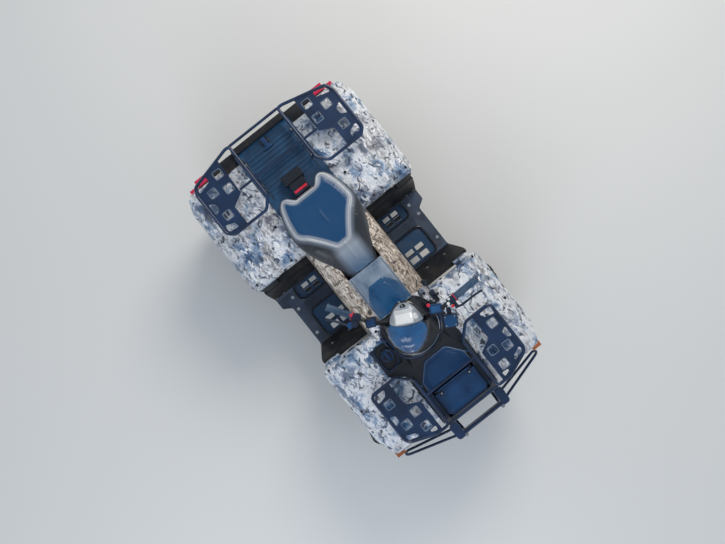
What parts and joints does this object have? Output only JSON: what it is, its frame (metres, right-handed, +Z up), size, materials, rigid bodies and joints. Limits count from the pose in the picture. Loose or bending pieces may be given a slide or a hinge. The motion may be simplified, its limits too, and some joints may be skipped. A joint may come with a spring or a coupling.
{
  "type": "utility quad bike",
  "caption": "Utility quad bike with front and rear racks, camouflaged fenders, a shaped seat, steerable front wheels, rolling tyres and a storage lid in front.",
  "frame": {"origin": "on the ground, in the middle of the length and width", "axes": "+X forward, +Y to the rider's left, +Z up"},
  "size_m": [2.141, 1.2364, 1.2438],
  "materials": {
    "camouflage_plastic": "satin film printed with a camouflage pattern",
    "black_plastic": "fine grained moulding",
    "pod_plastic": "glossy moulding",
    "seat_vinyl": "soft grained cover",
    "tyre_rubber": "moulded tread",
    "wheel_alloy": "dark painted cast wheel",
    "black_steel": "black powder coat",
    "cast_steel": "cast, painted black",
    "engine_alloy": "cast",
    "skid_alloy": "rolled sheet",
    "exhaust_steel": "heat stained",
    "damper_paint": "black powder coat",
    "grip_rubber": "moulded ribs",
    "clear_lens": "clear",
    "red_lens": "translucent",
    "amber_lens": "translucent"
  },
  "bodies": {
    "chassis": {"front_fender_left": "camouflage_plastic", "front_fender_right": "camouflage_plastic", "rear_fender_left": "camouflage_plastic", "rear_fender_right": "camouflage_plastic", "side_panel_left": "camouflage_plastic", "side_panel_right": "camouflage_plastic", "front_console": "black_plastic", "front_nose": "black_plastic", "storage_tray": "black_plastic", "rear_deck": "black_plastic", "seat_rear_block": "black_plastic", "footwell_left": "black_plastic", "footwell_right": "black_plastic", "fuel_cap": "black_plastic", "gear_lever": "black_plastic", "tank_cover": "pod_plastic", "seat": "seat_vinyl", "frame_left": "black_steel", "frame_right": "black_steel", "frame_cross_tubes": "black_steel", "front_rack": "black_steel", "rear_rack": "black_steel", "front_bumper": "black_steel", "tow_hitch": "black_steel", "front_suspension": "black_steel", "rear_suspension": "black_steel", "driveline": "cast_steel", "engine": "engine_alloy", "skid_plate": "skid_alloy", "exhaust": "exhaust_steel", "dampers": "damper_paint", "headlamps": "clear_lens", "tail_lamps": "red_lens", "corner_lamps": "amber_lens"},
    "front_lid": {"front_lid": "black_plastic"},
    "steering": {"handlebar": "black_steel", "grips": "grip_rubber", "controls": "black_plastic", "instrument_pod": "pod_plastic"},
    "knuckle_left": {"knuckle_left": "cast_steel"},
    "knuckle_right": {"knuckle_right": "cast_steel"},
    "tie_rod_left": {"tie_rod_left": "black_steel"},
    "tie_rod_right": {"tie_rod_right": "black_steel"},
    "front_wheel_left": {"front_tyre_left": "tyre_rubber", "front_rim_left": "wheel_alloy"},
    "front_wheel_right": {"front_tyre_right": "tyre_rubber", "front_rim_right": "wheel_alloy"},
    "rear_wheel_left": {"rear_tyre_left": "tyre_rubber", "rear_rim_left": "wheel_alloy"},
    "rear_wheel_right": {"rear_tyre_right": "tyre_rubber", "rear_rim_right": "wheel_alloy"}
  },
  "joints": [
    {"name": "steering_turn", "type": "hinge", "parent": "chassis", "child": "steering", "pos_m": [0.296, 0, 1.08], "axis": [-0.3123, 0, 0.95], "range_deg": [-11.4, 68.5]},
    {"name": "knuckle_turn_left", "type": "hinge", "parent": "chassis", "child": "knuckle_left", "pos_m": [0.605, 0.38, 0.317], "axis": [0, 0, 1], "range_deg": [-8, 48]},
    {"name": "tie_rod_turn_left", "type": "hinge", "parent": "knuckle_left", "child": "tie_rod_left", "pos_m": [0.52794, 0.40805, 0.35], "axis": [0, 0, 1], "range_deg": [-48, 8]},
    {"name": "front_wheel_roll_left", "type": "hinge", "parent": "knuckle_left", "child": "front_wheel_left", "pos_m": [0.62381, 0.43168, 0.317], "axis": [0.342, 0.9397, 0], "continuous": true},
    {"name": "rear_wheel_roll_left", "type": "hinge", "parent": "chassis", "child": "rear_wheel_left", "pos_m": [-0.675, 0.455, 0.317], "axis": [0, 1, 0], "continuous": true},
    {"name": "knuckle_turn_right", "type": "hinge", "parent": "chassis", "child": "knuckle_right", "pos_m": [0.605, -0.38, 0.317], "axis": [0, 0, 1], "range_deg": [-8, 48]},
    {"name": "tie_rod_turn_right", "type": "hinge", "parent": "knuckle_right", "child": "tie_rod_right", "pos_m": [0.52794, -0.35195, 0.35], "axis": [0, 0, 1], "range_deg": [-48, 8]},
    {"name": "front_wheel_roll_right", "type": "hinge", "parent": "knuckle_right", "child": "front_wheel_right", "pos_m": [0.58619, -0.43168, 0.317], "axis": [0.342, 0.9397, 0], "continuous": true},
    {"name": "rear_wheel_roll_right", "type": "hinge", "parent": "chassis", "child": "rear_wheel_right", "pos_m": [-0.675, -0.455, 0.317], "axis": [0, 1, 0], "continuous": true},
    {"name": "lid_hinge", "type": "hinge", "parent": "chassis", "child": "front_lid", "pos_m": [0.727, 0, 0.818], "axis": [0, -1, 0], "range_deg": [0, 80]}
  ],
  "couplings": [
    {"joint": "knuckle_turn_left", "follows": "steering_turn", "ratio": 0.7},
    {"joint": "tie_rod_turn_left", "follows": "steering_turn", "ratio": -0.7},
    {"joint": "knuckle_turn_right", "follows": "steering_turn", "ratio": 0.7},
    {"joint": "tie_rod_turn_right", "follows": "steering_turn", "ratio": -0.7}
  ]
}
